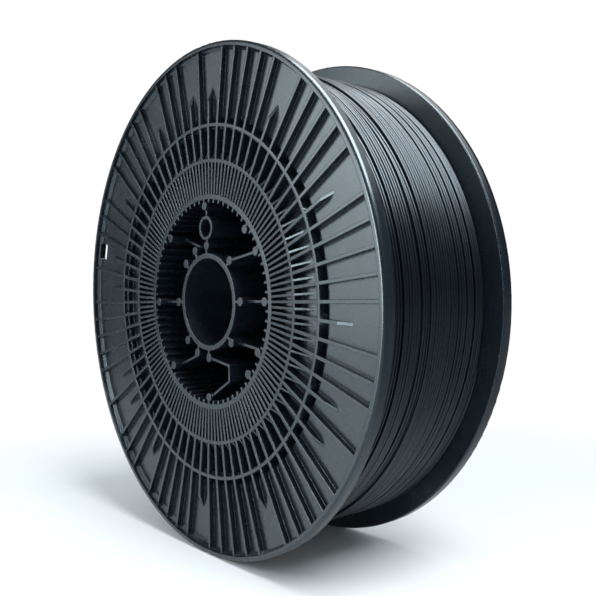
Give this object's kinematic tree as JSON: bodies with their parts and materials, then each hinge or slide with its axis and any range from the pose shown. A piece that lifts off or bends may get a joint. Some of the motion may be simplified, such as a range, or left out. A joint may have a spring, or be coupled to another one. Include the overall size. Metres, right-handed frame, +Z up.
{
  "type": "filament spool",
  "caption": "Large plastic spool of 3D-printer filament: ribbed flanges, an open webbed hub with a through bore and off-centre drive holes, and black filament wound between the flanges.",
  "frame": {"origin": "centre of the spool: on its axis, half way between the two outer rim planes", "axes": "+Y along the spool's axis, from the front flange to the back flange; +Z up as it stands on its rims, through the front half's drive hole; +X to the right seen from the front"},
  "size_m": [0.3, 0.096, 0.3],
  "materials": {
    "spool_plastic": "satin",
    "filament": "satin gloss"
  },
  "bodies": {
    "root": {"front_flange": "spool_plastic", "front_drum": "spool_plastic", "front_bore_tube": "spool_plastic", "front_webs": "spool_plastic", "front_jogged_web": "spool_plastic", "front_drive_web": "spool_plastic", "back_flange": "spool_plastic", "back_drum": "spool_plastic", "back_bore_tube": "spool_plastic", "back_webs": "spool_plastic", "back_jogged_web": "spool_plastic", "back_drive_web": "spool_plastic", "filament_winding": "filament"}
  },
  "joints": []
}
